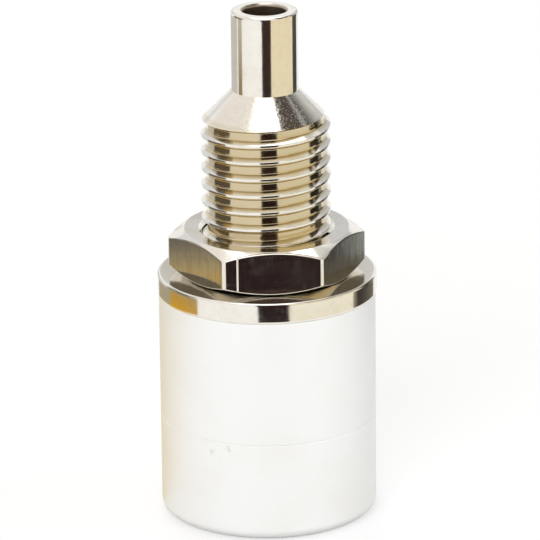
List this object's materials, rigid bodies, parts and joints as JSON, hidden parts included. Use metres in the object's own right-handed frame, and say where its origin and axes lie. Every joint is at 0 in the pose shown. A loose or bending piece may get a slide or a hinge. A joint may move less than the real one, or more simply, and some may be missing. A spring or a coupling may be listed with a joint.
{
  "type": "banana socket",
  "caption": "Insulated panel socket for a banana plug: white head and bush clamp the panel, drawn up by a washer and hex nut on a threaded contact sleeve that ends in a solder cup.",
  "frame": {"origin": "centre of the head's front face, where the plug goes in", "axes": "+Z along the shank, from the plug side to the solder end; -Y is the front in the picture"},
  "size_m": [0.0102, 0.0102, 0.0241],
  "materials": {
    "plated_brass": "bright nickel plating",
    "white_plastic": "smooth moulded"
  },
  "bodies": {
    "socket": {"contact_sleeve": "plated_brass", "insulating_head": "white_plastic"},
    "rear_stack": {"insulating_bush": "white_plastic", "washer": "plated_brass"},
    "nut": {"hex_nut": "plated_brass"}
  },
  "joints": [
    {"name": "clamp_slide", "type": "slide", "parent": "socket", "child": "rear_stack", "axis": [0, 0, 1], "range_m": [0, 0.0045]},
    {"name": "nut_turn", "type": "hinge", "parent": "rear_stack", "child": "nut", "pos_m": [0, 0, 0.01265], "axis": [0, 0, 1], "range_deg": [0, 2025]}
  ],
  "couplings": [
    {"joint": "nut_turn", "follows": "clamp_slide", "rad_per_m": 7854}
  ]
}
